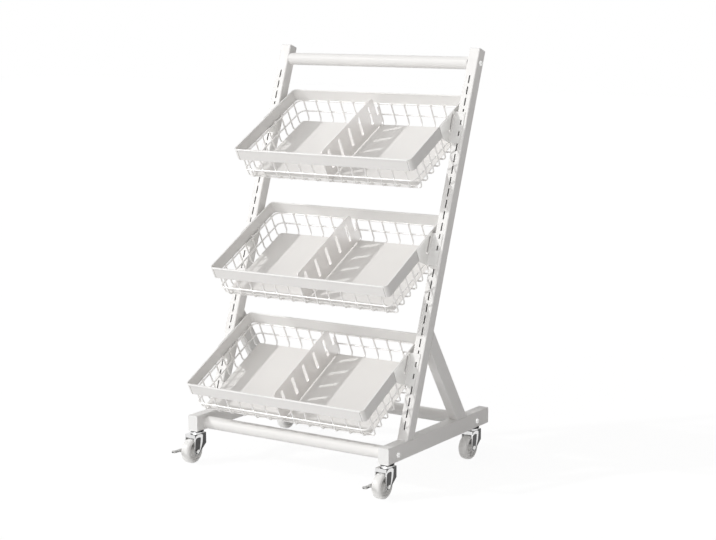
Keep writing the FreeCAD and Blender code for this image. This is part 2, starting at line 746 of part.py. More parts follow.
def caster_place(end, sign):
    return {"x": f"{sign}*{RAIL_X}", "y": f"{RAIL_FRONT} + {STEM_SETBACKS[end]}"}


def caster_fork(end, side, sign):
    """Swivelling half: race, crown plate with a front lip, and two tapered legs."""
    body = new_body(f"caster_fork_{end}_{side}", **caster_place(end, sign))
    race = new_sketch(body, "XY_Plane", CROWN_TOP)
    circle(race, "0", "0", "race_diameter")
    pad(body, race, "race_height")
    crown = new_sketch(body, "XY_Plane", CROWN_TOP)
    rectangle(crown, f"-{FORK_HALF}", FORK_HALF, "-fork_front", "fork_rear", "fork_sheet")
    pad(body, crown, "fork_sheet", reverse=True)
    lip = new_sketch(body, "XZ_Plane", "fork_front")
    rectangle(lip, f"-{FORK_HALF}", FORK_HALF, f"{CROWN_TOP} - fork_lip", CROWN_TOP)
    pad(body, lip, "fork_sheet", reverse=True)
    foot = f"({AXLE_Z} - fork_foot)"
    rounding = f"{END_ROUNDING}*fork_foot"
    for leg in (LEFT, RIGHT):
        profile = new_sketch(body, "YZ_Plane", f"{leg}*{FORK_HALF}")
        outline(profile, [("-fork_front", CROWN_TOP), ("-wheel_trail - fork_foot", foot, rounding),
                          ("fork_foot - wheel_trail", foot, rounding),
                          ("fork_rear", f"{CROWN_TOP} - fork_skirt"), ("fork_rear", CROWN_TOP)])
        pad(body, profile, "fork_sheet", reverse=leg == RIGHT)
    bore = new_sketch(body, "XY_Plane")
    circle(bore, "0", "0", "swivel_diameter + 2*running_gap")
    pocket(body, bore, reverse=True)
    axle = new_sketch(body, "YZ_Plane")
    circle(axle, "-wheel_trail", AXLE_Z, "axle_diameter + 2*running_gap")
    pocket(body, axle, both=True)


def wheel_place(end, sign):
    where = caster_place(end, sign)
    where["y"] += " - wheel_trail"
    where["z"] = AXLE_Z
    return where


def caster_axle(end, side, sign):
    """Headed axle bolt; on the braked casters it also holds the pedal's arm."""
    body = new_body(f"caster_axle_{end}_{side}", **wheel_place(end, sign))
    arm_reach = f"({ARM_OUTER} + pedal_arm_gap)" if end == "front" else FORK_HALF
    shank = new_sketch(body, "YZ_Plane")
    circle(shank, "0", "0", "axle_diameter")
    pad(body, shank, f"2*{arm_reach}", both=True)
    for head, reach in ((LEFT, arm_reach), (RIGHT, FORK_HALF)):
        section = new_sketch(body, "YZ_Plane", f"{head}*{reach}")
        circle(section, "0", "0", "axle_head_diameter")
        pad(body, section, f"{arm_reach} - {reach} + axle_head_height", reverse=head == LEFT)


def caster_hub(end, side, sign):
    body = new_body(f"caster_hub_{end}_{side}", **wheel_place(end, sign))
    web = "(wheel_width/2 - hub_recess)"
    boss = f"({FORK_HALF} - fork_sheet - hub_side_gap)"
    bore = "(axle_diameter/2 + running_gap)"
    profile = new_sketch(body, "XY_Plane")
    outline(profile, [(f"-{boss}", bore), (boss, bore), (boss, "hub_boss_diameter/2"),
                      (web, "hub_boss_diameter/2"), (web, "hub_diameter/2"), (f"-{web}", "hub_diameter/2"),
                      (f"-{web}", "hub_boss_diameter/2"), (f"-{boss}", "hub_boss_diameter/2")])
    revolve(body, profile, "X_Axis")


def caster_tyre(end, side, sign):
    body = new_body(f"caster_tyre_{end}_{side}", **wheel_place(end, sign))
    inner = "(hub_diameter/2 + running_gap)"
    half = "wheel_width/2"
    profile = new_sketch(body, "XY_Plane")
    outline(profile, [(f"-{half}", inner), (half, inner), (half, "wheel_diameter/2", "tread_corner"),
                      (f"-{half}", "wheel_diameter/2", "tread_corner")])
    revolve(body, profile, "X_Axis")


def brake_pedal(side, sign):
    """Lever that turns on the axle, on the left of the wheel, with a foot tab in front of it."""
    body = new_body(f"brake_pedal_{side}", **wheel_place("front", sign))
    rounding = f"{END_ROUNDING}*pedal_boss"
    tab_top = "(pedal_rise + pedal_sheet)"
    arm = new_sketch(body, "YZ_Plane", f"-{ARM_INNER}")
    outline(arm, [("pedal_boss", "-pedal_boss", rounding), ("pedal_boss", "pedal_boss", rounding),
                  ("-pedal_reach", tab_top), ("-pedal_reach", "pedal_rise")])
    pad(body, arm, "pedal_arm_sheet", reverse=True)
    tab = new_sketch(body, "XY_Plane", "pedal_rise")
    outer = f"-{ARM_OUTER}"
    inner = f"(pedal_tab_width - {ARM_OUTER})"
    root = "(pedal_tab_length - pedal_reach)"
    outline(tab, [(outer, "-pedal_reach"), (inner, "-pedal_reach", "pedal_tip_corner"),
                  (inner, root, "pedal_tip_corner"), (outer, root)])
    pad(body, tab, "pedal_sheet")
    pivot = new_sketch(body, "YZ_Plane")
    circle(pivot, "0", "0", "axle_diameter + 2*running_gap")
    pocket(body, pivot, both=True)


def build():
    for side, sign in SIDES:
        base_rail(side, sign)
        upright(side, sign)
        rear_brace(side, sign)
    rail_caps()
    upright_caps()
    rail_gap = "stand_width - 2*rail_width"
    for label, spot in zip(("front_crossbar", "rear_crossbar"), RAIL_BAR_SPOTS):
        round_bar(label, *spot, "bar_diameter", rail_gap)
    round_bar("handle_bar", HANDLE_Y, HANDLE_Z, "handle_diameter", "stand_width - 2*upright_width")
    bar_inserts()
    frame_bolts()
    for tier in range(len(TIERS)):
        for side, sign in SIDES:
            bracket(tier, side, sign)
        basket_rim(tier)
        basket_rings(tier)
        basket_long_wires(tier)
        basket_cross_wires(tier)
        basket_liner(tier)
        basket_divider(tier)
    caster_stems()
    stem_nuts()
    for end in ("front", "rear"):
        for side, sign in SIDES:
            caster_fork(end, side, sign)
            caster_axle(end, side, sign)
            caster_hub(end, side, sign)
            caster_tyre(end, side, sign)
    for side, sign in SIDES:
        brake_pedal(side, sign)


def check_model():
    for item in doc.Objects:
        if "Invalid" in item.State or "Error" in item.State:
            raise RuntimeError(f"{item.Label} failed: {item.State}")
    for part in sub_parts:
        if part.Shape.isNull() or not part.Shape.isValid():
            raise RuntimeError(f"{part.Label} has no valid shape")


build()
doc.recompute()
check_model()
os.makedirs("parts", exist_ok=True)
for part in sub_parts:
    part.Shape.exportStep(os.path.join("parts", f"{part.Label}.step"))
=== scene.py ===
import json
import math

import bmesh
import bpy
from mathutils import Matrix, Vector


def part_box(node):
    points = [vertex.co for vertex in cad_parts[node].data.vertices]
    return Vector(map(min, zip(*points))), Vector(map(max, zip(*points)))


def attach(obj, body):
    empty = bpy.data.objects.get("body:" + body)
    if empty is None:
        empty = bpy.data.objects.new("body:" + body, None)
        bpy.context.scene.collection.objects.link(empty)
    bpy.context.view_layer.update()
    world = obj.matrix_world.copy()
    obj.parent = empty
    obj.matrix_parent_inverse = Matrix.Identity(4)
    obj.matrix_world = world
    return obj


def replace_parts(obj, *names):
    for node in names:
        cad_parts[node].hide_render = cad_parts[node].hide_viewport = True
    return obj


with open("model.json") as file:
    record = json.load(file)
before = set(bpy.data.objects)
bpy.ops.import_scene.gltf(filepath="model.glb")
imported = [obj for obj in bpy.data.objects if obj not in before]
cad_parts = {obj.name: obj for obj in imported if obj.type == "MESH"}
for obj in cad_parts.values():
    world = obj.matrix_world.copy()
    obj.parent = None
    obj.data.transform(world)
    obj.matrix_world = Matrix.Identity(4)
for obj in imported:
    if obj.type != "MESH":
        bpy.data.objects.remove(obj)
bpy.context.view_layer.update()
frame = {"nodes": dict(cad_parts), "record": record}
nodes = frame["nodes"]
scene = bpy.context.scene

TIERS = ("bottom", "middle", "top")
SIDES = (("left", -1), ("right", 1))
ENDS = ("front", "rear")

# camera of the photograph, in metres and degrees
IMAGE_WIDTH = 716
FOCAL_PIXELS = 1672.9
SENSOR_WIDTH = 36.0
CAMERA_PLACE = (2.3099, -3.4351, 1.1677)
CAMERA_AZIMUTH = 33.023
CAMERA_ELEVATION = 9.288
CLIP_END = 100.0

# light, with directions of travel and angles in degrees
KEY_DIRECTION = (0.90, 0.81, -0.70)
KEY_STRENGTH = 1.22
KEY_ANGLE = 2.5
FRONT_DIRECTION = (0.12, 0.95, -0.13)
FRONT_STRENGTH = 0.98
FRONT_ANGLE = 45.0
TOP_DIRECTION = (0.15, 0.30, -0.95)
TOP_STRENGTH = 0.77
TOP_ANGLE = 120.0
AMBIENT = 0.19
AMBIENT_COLOUR = (1.0, 0.965, 0.945)
BACKDROP = 1.0
BACKDROP_COLOUR = (1.0, 1.0, 1.0)
FLOOR_SIZE = 30.0
FLOOR_GLOW = 0.92
FLOOR_SEEN = 0.13
FLOOR_BOUNCE = 0.95

# shapes
MILLIMETRE = 0.001
WELD_DISTANCE = 1e-6
FLAT_ANGLE = math.radians(0.5)
SHARP_ANGLE = math.radians(35)
SMOOTH_ANGLE = math.radians(40)
ROUND_STEPS = 48
HEXAGON = 6
BEVEL_STEPS = 2
BEVEL_PROFILE = 0.5
BARS = ("front_crossbar", "rear_crossbar", "handle_bar")
# least share of X in the normal of a face that counts as facing sideways
SIDEWAYS = 0.9

# unevenness of surfaces
RAMP_START = 0.3
RAMP_END = 0.7
PATCH_DETAIL = 3.0
GRAIN_DETAIL = 4.0
GLOSS_PATCHES = 6
DULLER = 0.06
SHINIER = 0.04
METAL_PATCH = 120.0
METAL_DULLER = 0.05


def new_material(name):
    """Plain node material and its shader."""
    material = bpy.data.materials.new(name)
    material.use_nodes = True
    shader = material.node_tree.nodes["Principled BSDF"]
    return material, shader


def add_node(material, kind, **values):
    """Node with constant values on its inputs."""
    node = material.node_tree.nodes.new(kind)
    for key, value in values.items():
        node.inputs[key.replace("_", " ")].default_value = value
    return node


def link(material, source, target):
    material.node_tree.links.new(source, target)


def place_noise(material, scale, detail=PATCH_DETAIL):
    """Noise over the object's own coordinates, with scale as features per metre."""
    spot = add_node(material, "ShaderNodeTexCoord")
    noise = add_node(material, "ShaderNodeTexNoise", Scale=scale, Detail=detail)
    link(material, spot.outputs["Object"], noise.inputs["Vector"])
    return noise.outputs["Fac"]


def ramp(material, source, low, high):
    """Colours or greys between low and high, following source."""
    band = add_node(material, "ShaderNodeValToRGB")
    stops = ((RAMP_START, low), (RAMP_END, high))
    for element, (position, colour) in zip(band.color_ramp.elements, stops):
        element.position = position
        element.color = (*colour, 1)
    link(material, source, band.inputs["Fac"])
    return band.outputs["Color"]


def grain(material, shader, scale, height):
    """Fine bump, with height in metres."""
    bump = add_node(material, "ShaderNodeBump", Strength=1.0, Distance=height)
    link(material, place_noise(material, scale, GRAIN_DETAIL), bump.inputs["Height"])
    link(material, bump.outputs["Normal"], shader.inputs["Normal"])


def finish(name, colour, roughness, spread, patch, grain_scale=0.0, grain_height=0.0, gloss=0.5, sheen=0.0):
    """Painted or moulded surface, with slightly uneven colour and gloss, fine grain and a metallic share."""
    material, shader = new_material(name)
    shader.inputs["Specular IOR Level"].default_value = gloss
    shader.inputs["Metallic"].default_value = sheen
    dark = [max(channel - spread, 0) for channel in colour]
    link(material, ramp(material, place_noise(material, patch), dark, colour), shader.inputs["Base Color"])
    dull = ramp(material, place_noise(material, GLOSS_PATCHES * patch),
                (roughness + DULLER,) * 3, (roughness - SHINIER,) * 3)
    link(material, dull, shader.inputs["Roughness"])
    if grain_height:
        grain(material, shader, grain_scale, grain_height)
    return material


def metal(name, colour, roughness, spread):
    """Bare or plated metal, with slightly uneven colour and gloss."""
    material, shader = new_material(name)
    shader.inputs["Metallic"].default_value = 1.0
    patches = place_noise(material, METAL_PATCH)
    dark = [channel - spread for channel in colour]
    link(material, ramp(material, patches, dark, colour), shader.inputs["Base Color"])
    rough = ramp(material, patches, (roughness + METAL_DULLER,) * 3, (roughness,) * 3)
    link(material, rough, shader.inputs["Roughness"])
    return material


# painted and moulded surfaces: colour, roughness, spread of the colour, its patches per metre,
# then grain per metre, height of the grain in metres, gloss and metallic share
FINISHES = {
    "frame_coat": ((0.90, 0.89, 0.875), 0.42, 0.015, 10.0, 1400.0, 0.00004, 0.35),
    "bracket_coat": ((0.87, 0.865, 0.85), 0.42, 0.015, 20.0, 1400.0, 0.00004, 0.35),
    "rim_coat": ((0.89, 0.88, 0.865), 0.40, 0.015, 14.0, 1400.0, 0.00004, 0.25),
    "wire_coat": ((0.92, 0.91, 0.895), 0.35, 0.015, 30.0, 1800.0, 0.00002, 1.0, 0.3),
    "divider_coat": ((0.95, 0.93, 0.915), 0.32, 0.02, 12.0, 1400.0, 0.00004, 1.0, 0.45),
    "liner_panel": ((0.89, 0.875, 0.855), 0.55, 0.02, 6.0, 1100.0, 0.00005),
    "white_cap": ((0.89, 0.89, 0.88), 0.45, 0.02, 40.0, 2200.0, 0.00003),
    "wheel_nylon": ((0.92, 0.915, 0.90), 0.32, 0.03, 60.0, 1500.0, 0.00002),
    "pedal_plastic": ((0.60, 0.60, 0.59), 0.5, 0.03, 60.0, 2500.0, 0.00004),
    # lighter, metallic copy of the bracket's coat for the brackets' sideways faces: a painted highlight that
    # makes them read lighter than the flanges
    "cheek_painted_highlight": ((0.97, 0.965, 0.95), 0.35, 0.02, 20.0, 1400.0, 0.00004, 1.0, 0.65),
    # lighter copy of the rim's coat for the lip: a painted highlight
    "lip_painted_highlight": ((0.97, 0.965, 0.95), 0.3, 0.015, 14.0, 1400.0, 0.00002),
    # dark grey for thin strips beside the front corners: painted shade of the gaps there
    "gap_painted_shade": ((0.40, 0.39, 0.38), 0.6, 0.05, 60.0),
    "pale_pedal": ((0.80, 0.80, 0.79), 0.4, 0.03, 60.0, 2500.0, 0.00004),
}
# metals: colour, roughness and spread of the colour
METALS = {
    "bolt_steel": ((0.82, 0.82, 0.81), 0.22, 0.05),
    "insert_steel": ((0.70, 0.70, 0.69), 0.35, 0.05),
    "axle_steel": ((0.78, 0.78, 0.77), 0.25, 0.05),
    "stem_steel": ((0.05, 0.05, 0.05), 0.35, 0.02),
    "caster_chrome": ((0.80, 0.80, 0.80), 0.10, 0.03),
    # near-black chrome for the fork legs' outer faces: a painted dark reflection
    "leg_painted_dark_reflection": ((0.09, 0.09, 0.09), 0.16, 0.03),
}
MATERIALS = {name: finish(name, *values) for name, values in FINISHES.items()}
MATERIALS.update({name: metal(name, *values) for name, values in METALS.items()})

SLOTS = {entry["node"]: entry["material_slot"] for entry in frame["record"]["subparts"]}
BODIES = {node: body for body, names in frame["record"]["behaviour"]["bodies"].items() for node in names}
JOINTS = {joint["name"]: joint for joint in frame["record"]["behaviour"]["joints"]}


def add_piece(name, shape, body, slot, *materials):
    """Mesh object from a bmesh, riding on a body."""
    mesh = bpy.data.meshes.new(name)
    bmesh.ops.recalc_face_normals(shape, faces=shape.faces)
    for edge in shape.edges:
        if len(edge.link_faces) == 2:
            edge.smooth = edge.calc_face_angle() < SMOOTH_ANGLE
    for face in shape.faces:
        face.smooth = True
    shape.to_mesh(mesh)
    shape.free()
    for material in materials or (MATERIALS[slot],):
        mesh.materials.append(material)
    piece = bpy.data.objects.new(name, mesh)
    scene.collection.objects.link(piece)
    level = piece.modifiers.new("normals", "WEIGHTED_NORMAL")
    level.keep_sharp = True
    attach(piece, body)
    return piece


def welded_copy(name):
    """Welded copy of a CAD node's mesh."""
    shape = bmesh.new()
    shape.from_mesh(nodes[name].data)
    bmesh.ops.remove_doubles(shape, verts=shape.verts, dist=WELD_DISTANCE)
    return shape


def soften(name, width, *materials, choose=None):
    """Stand-in for a CAD node with its sharp edges rounded by a width in millimetres.

    choose gives the number of a face's material.
    """
    shape = welded_copy(name)
    bmesh.ops.dissolve_limit(shape, angle_limit=FLAT_ANGLE, verts=shape.verts, edges=shape.edges)
    if choose:
        for face in shape.faces:
            face.material_index = choose(face)
    sharp = [edge for edge in shape.edges
             if len(edge.link_faces) == 2 and edge.calc_face_angle() > SHARP_ANGLE]
    bmesh.ops.bevel(shape, geom=sharp, offset=width * MILLIMETRE, segments=BEVEL_STEPS, profile=BEVEL_PROFILE,
                    affect="EDGES", clamp_overlap=True, material=-1)
    piece = add_piece(f"soft_{name}", shape, BODIES[name], SLOTS[name], *materials)
    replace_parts(piece, name)


def paint_cad_nodes():
    for name, node in nodes.items():
        for index in range(len(node.material_slots)):
            node.material_slots[index].link = "OBJECT"
            node.material_slots[index].material = MATERIALS[SLOTS[name]]


def smooth_copy(name):
    """Stand-in for a round CAD node, shaded smooth."""
    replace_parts(add_piece(f"smooth_{name}", welded_copy(name), BODIES[name], SLOTS[name]), name)


def skin(shape, rings, loop=False):
    """Faces between rings of points; loop joins the last ring to the first instead of closing both."""
    rows = [[shape.verts.new(point) for point in ring] for ring in rings]
    pairs = list(zip(rows, rows[1:]))
    if loop:
        pairs.append((rows[-1], rows[0]))
    for low, high in pairs:
        for i in range(len(low)):
            j = (i + 1) % len(low)
            shape.faces.new((low[i], low[j], high[j], high[i]))
    if not loop:
        shape.faces.new(rows[0][::-1])
        shape.faces.new(rows[-1])


def turned_ring(x, y, z, radius, sides=None):
    """Points round an axis along X; with sides, on a polygon whose flats lie at that radius."""
    points = []
    for i in range(ROUND_STEPS):
        angle = 2 * math.pi * i / ROUND_STEPS
        reach = radius
        if sides:
            half = math.pi / sides
            reach = radius / math.cos((angle + half) % (2 * half) - half)
        points.append(Vector((x, y + reach * math.cos(angle), z + reach * math.sin(angle))))
    return points


def middle(name):
    """Middle of a CAD node's box."""
    low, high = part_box(name)
    return [(a + b) / 2 for a, b in zip(low, high)]


# bolts of the bars: height over the tube's face, radius and number of flats, in millimetres
BOLT_STEPS = ((-40, 3.9, None), (0, 3.9, None), (0, 7.0, None), (0.9, 7.0, None), (1.7, 6.6, None),
              (2.5, 5.8, None), (3.1, 4.8, None), (3.3, 4.2, None), (3.3, 2.5, HEXAGON), (1.3, 2.4, HEXAGON))


def frame_bolts():
    """Button heads with hexagon sockets, and their shanks."""
    shape = bmesh.new()
    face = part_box("base_rail_right")[1][0]
    for bar in BARS:
        _, y, z = middle(bar)
        for _, sign in SIDES:
            skin(shape, [turned_ring(sign * (face + height * MILLIMETRE), y, z, radius * MILLIMETRE, flats)
                         for height, radius, flats in BOLT_STEPS])
    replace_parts(add_piece("button_bolts", shape, "frame", "bolt_steel"), "frame_bolts")


# axles: steps in from each end, as distance, radius and number of flats, in millimetres
AXLE_HEAD_STEPS = ((0, 2.8, None), (0.5, 4.4, None), (1.3, 5.2, None), (2.2, 5.5, None), (3.0, 5.5, None))
AXLE_NUT_STEPS = ((0, 3.3, None), (0.5, 4.1, None), (1.0, 4.7, HEXAGON))
AXLE_RADIUS = 3.9


def axle(end, side):
    """Axle with a domed head on its left and a hexagon nut on its right."""
    name = f"caster_axle_{end}_{side}"
    (x0, _, _), (x1, _, _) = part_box(name)
    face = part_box(f"caster_fork_{end}_{side}")[1][0]
    _, y, z = middle(name)
    head = AXLE_HEAD_STEPS[-1][0] * MILLIMETRE
    rings = [turned_ring(x0 + step * MILLIMETRE, y, z, radius * MILLIMETRE, flats)
             for step, radius, flats in AXLE_HEAD_STEPS]
    rings.append(turned_ring(x0 + head, y, z, AXLE_RADIUS * MILLIMETRE))
    rings.append(turned_ring(face, y, z, AXLE_RADIUS * MILLIMETRE))
    rings.append(turned_ring(face, y, z, AXLE_NUT_STEPS[-1][1] * MILLIMETRE, HEXAGON))
    rings += [turned_ring(x1 - step * MILLIMETRE, y, z, radius * MILLIMETRE, flats)
              for step, radius, flats in reversed(AXLE_NUT_STEPS)]
    shape = bmesh.new()
    skin(shape, rings)
    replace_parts(add_piece(f"axle_{end}_{side}", shape, BODIES[name], SLOTS[name]), name)


# wheel hubs and tyres: half of the section as distance from the middle and radius, in millimetres
HUB_SECTION = ((6.8, 18.0), (6.8, 17.2), (4.8, 16.2), (4.6, 10.2), (12.6, 8.6), (13.1, 8.0), (13.1, 4.1))
TYRE_SECTION = ((6.8, 18.1), (7.0, 22.4), (11.6, 23.2), (12.4, 23.9), (12.8, 25.0), (12.6, 26.4),
                (11.9, 27.8), (10.7, 29.2), (9.0, 30.4), (6.8, 31.1), (4.0, 31.4), (1.5, 31.5))


def turned_loop(shape, half_section, x, y, z):
    """Closed ring round an axis along X, from one half of its section."""
    section = list(half_section) + [(-offset, radius) for offset, radius in reversed(half_section)]
    rings = [turned_ring(x + offset * MILLIMETRE, y, z, radius * MILLIMETRE) for offset, radius in section]
    skin(shape, rings, loop=True)


def tyre(end, side):
    """Rounded tread with a hollow in each face."""
    name = f"caster_tyre_{end}_{side}"
    shape = bmesh.new()
    turned_loop(shape, TYRE_SECTION, *middle(name))
    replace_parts(add_piece(f"round_tyre_{end}_{side}", shape, BODIES[name], SLOTS[name]), name)


def hub(end, side):
    """Moulded hub, dished on each face."""
    name = f"caster_hub_{end}_{side}"
    shape = bmesh.new()
    turned_loop(shape, HUB_SECTION, *middle(name))
    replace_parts(add_piece(f"dished_hub_{end}_{side}", shape, BODIES[name], SLOTS[name]), name)


# bright pressed border on each fork leg, as (behind the stem, height) in millimetres, outer and inner line
BORDER_OUTER = ((-28.5, 73.2), (2.5, 73.2), (1.8, 58.0), (0.0, 48.0), (-6.5, 35.0), (-13.0, 26.5),
                (-18.5, 23.2), (-23.0, 22.7), (-27.5, 23.6), (-30.8, 27.0), (-31.4, 33.0), (-30.3, 52.0))
BORDER_INNER = ((-27.2, 65.5), (-6.0, 65.5), (-6.3, 58.0), (-8.0, 47.0), (-9.5, 36.0), (-13.9, 27.5),
                (-18.7, 24.0), (-23.0, 23.4), (-27.1, 24.4), (-29.9, 27.8), (-30.4, 33.0), (-29.0, 52.0))
# steps across the border, as share of its width and height over the leg in millimetres
BORDER_STEPS = ((0.0, -0.3), (0.0, 0.2), (0.15, 0.6), (0.85, 0.6), (1.0, 0.2), (1.0, -0.3))
# share of each side that a cut corner takes, and how often corners are cut
CORNER_CUT = 0.25
CUT_ROUNDS = 2
# rounding of the fork's edges, and how far in from its sides a leg's outer face may lie, in millimetres
FORK_ROUNDING = 0.5
LEG_DEPTH = 0.1


def corner_cutting(points):
    """Round a closed line by cutting its corners."""
    far = 1 - CORNER_CUT
    for _ in range(CUT_ROUNDS):
        cut = []
        for i, (a, b) in enumerate(points):
            c, d = points[(i + 1) % len(points)]
            cut.append((far * a + CORNER_CUT * c, far * b + CORNER_CUT * d))
            cut.append((CORNER_CUT * a + far * c, CORNER_CUT * b + far * d))
        points = cut
    return points


def fork(end, side):
    """Bright crown and a pressed border on each leg, with near-black chrome on the legs' outer faces as a
    painted dark reflection.
    """
    name = f"caster_fork_{end}_{side}"
    body = BODIES[name]
    low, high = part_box(name)
    stem_x, stem_y, _ = JOINTS[f"{body}_swivel"]["pos_m"]

    def is_leg(face):
        """1 for the outer faces of the legs, which get the painted dark reflection."""
        reach = (high[0] - low[0]) / 2 - LEG_DEPTH * MILLIMETRE
        outside = abs(face.calc_center_median().x - stem_x) > reach
        return int(abs(face.normal.x) > SIDEWAYS and outside)

    # outer faces of the legs in near-black chrome: a painted dark reflection
    soften(name, FORK_ROUNDING, MATERIALS["caster_chrome"], MATERIALS["leg_painted_dark_reflection"], choose=is_leg)
    outer = corner_cutting(BORDER_OUTER)
    inner = corner_cutting(BORDER_INNER)
    shape = bmesh.new()
    for face, sign in ((low[0], -1), (high[0], 1)):
        rings = []
        for share, height in BORDER_STEPS:
            x = face + sign * height * MILLIMETRE
            rings.append([Vector((x, stem_y + (a + (c - a) * share) * MILLIMETRE,
                                  (b + (d - b) * share) * MILLIMETRE))
                          for (a, b), (c, d) in zip(outer, inner)])
        skin(shape, rings, loop=True)
    add_piece(f"leg_borders_{end}_{side}", shape, body, "caster_chrome")


# pedal, and the grip on its tab with rounded tip and ridges, in millimetres
PEDAL_ROUNDING = 0.4
TAB_THICKNESS = 2.5
GRIP_LENGTH = 20.0
GRIP_WIDTH = 12.0
GRIP_ROUND = 0.9
GRIP_BELOW = 0.4
GRIP_RIDGES = 6
RIDGE_STEPS = 4
RIDGE_HEIGHT = 0.3
TIP_RISE = 3.0
TIP_TAPER = 0.35
TIP_STEPS = 3


def pedal(side):
    """Pale lever with a grey ridged grip on its tab."""
    name = f"brake_pedal_{side}"
    soften(name, PEDAL_ROUNDING, MATERIALS["pale_pedal"])
    low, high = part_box(name)
    x = low[0] + GRIP_WIDTH / 2 * MILLIMETRE
    under = high[2] - (TAB_THICKNESS + GRIP_BELOW) * MILLIMETRE
    inset = GRIP_ROUND * MILLIMETRE
    steps = RIDGE_STEPS * GRIP_RIDGES
    shape = bmesh.new()
    rings = []
    for i in range(steps + 1):
        share = i / steps
        y = low[1] + share * GRIP_LENGTH * MILLIMETRE
        taper = 1 - TIP_TAPER * max(0, 1 - i / TIP_STEPS) ** 2
        half = GRIP_WIDTH / 2 * taper * MILLIMETRE
        rise = RIDGE_HEIGHT * abs(math.sin(math.pi * GRIP_RIDGES * share)) * MILLIMETRE
        lift = TIP_RISE * (1 - share) ** 2 * MILLIMETRE
        upper = high[2] + rise + lift
        rings.append([Vector((x - half, y, under + inset)), Vector((x - half + inset, y, under)),
                      Vector((x + half - inset, y, under)), Vector((x + half, y, under + inset)),
                      Vector((x + half, y, upper - inset)), Vector((x + half - inset, y, upper)),
                      Vector((x - half + inset, y, upper)), Vector((x - half, y, upper - inset))])
    skin(shape, rings)
    add_piece(f"pedal_grip_{side}", shape, BODIES[name], "pedal_plastic")


# baskets, in millimetres, from the rear top edge of the rim
BAND_HEIGHT = 32.0
BASKET_DEPTH = 300.0
LONG_PITCH = 39.0
LONG_COUNT = 13
CROSS_PITCH = 32.0
CROSS_COUNT = 9
HOOP_DROPS = (31.5, 63.0)
FLOOR_DROP = 90.97
WALL_INSET = 6.08
SIDE_REACH = 256.4
BEAD_RADIUS = 2.7
BEAD_FLAT = 0.6
BEAD_DETAIL = 2


def basket_spot(tier):
    """Function that turns (across, forward from the rear edge, up) in a basket into a point."""
    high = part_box(f"basket_{tier}_rim")[1]
    _, lean, up = JOINTS[f"basket_{tier}_lift"]["axis"]
    rear = high[1] + BAND_HEIGHT * MILLIMETRE * lean
    ahead = Vector((0, -up, lean)) * MILLIMETRE
    rise = Vector((0, lean, up)) * MILLIMETRE
    start = Vector((0, rear, high[2]))

    def spot(across, depth, height):
        return start + Vector((across * MILLIMETRE, 0, 0)) + ahead * depth + rise * height

    return spot


def weld_beads(tier):
    """Small flattened beads of weld where basket wires cross."""
    spot = basket_spot(tier)
    across = [LONG_PITCH * (i - (LONG_COUNT - 1) / 2) for i in range(LONG_COUNT)]
    depths = [BASKET_DEPTH / 2 + CROSS_PITCH * (i - (CROSS_COUNT - 1) / 2) for i in range(CROSS_COUNT)]
    upward = spot(0, 0, 1) - spot(0, 0, 0)
    forward = spot(0, 1, 0) - spot(0, 0, 0)
    beads = [(spot(x, depth, -FLOOR_DROP), upward) for x in across for depth in depths]
    for drop in HOOP_DROPS:
        for depth in (WALL_INSET, BASKET_DEPTH - WALL_INSET):
            beads += [(spot(x, depth, -drop), forward) for x in across]
        for x in (-SIDE_REACH, SIDE_REACH):
            beads += [(spot(x, depth, -drop), Vector((1, 0, 0))) for depth in depths]
    radius = BEAD_RADIUS * MILLIMETRE
    size = Matrix.Diagonal((radius, radius, radius * BEAD_FLAT, 1))
    shape = bmesh.new()
    for place, normal in beads:
        turn = normal.to_track_quat("Z", "Y").to_matrix().to_4x4()
        bmesh.ops.create_icosphere(shape, subdivisions=BEAD_DETAIL, radius=1.0,
                                   matrix=Matrix.Translation(place) @ turn @ size)
    add_piece(f"weld_beads_{tier}", shape, f"basket_{tier}", "wire_coat")


# lip round the top of each rim, and dark strips that paint the shade of the gaps beside the front corners, in
# millimetres
BASKET_HALF = 262.5
BAND_CORNER = 10.0
LIP_INSET = 1.55
LIP_WIDTH = 3.4
LIP_HEIGHT = 2.8
LIP_STEPS = 12
CORNER_STEPS = 8
# section of the front lip, as (out from the band, height)
FRONT_LIP = ((-2.6, -0.6), (-1.6, 0.0), (-0.6, -0.2), (0.7, -1.2), (1.3, -2.4), (1.3, -3.4), (0.8, -4.2),
             (0.0, -4.4), (-1.0, -4.4))
FRONT_REACH = 254.0
SEAM_INSET = 11.0
SEAM_HALF = 0.5
SEAM_DEPTHS = (299.5, 300.08)
SEAM_HEIGHTS = (-32.0, -2.6)


def rim_path(inset):
    """Points and outward directions (across, depth) round a rim, that far inside its faces."""
    corner = BAND_CORNER - inset
    reach = BASKET_HALF - BAND_CORNER
    front = BASKET_DEPTH - BAND_CORNER
    corners = ((reach, front), (-reach, front), (-reach, BAND_CORNER), (reach, BAND_CORNER))
    path = []
    for quarter, (x, depth) in enumerate(corners):
        for i in range(CORNER_STEPS + 1):
            angle = math.pi / 2 * (quarter + i / CORNER_STEPS)
            way = (math.cos(angle), math.sin(angle))
            path.append(((x + corner * way[0], depth + corner * way[1]), way))
    return path


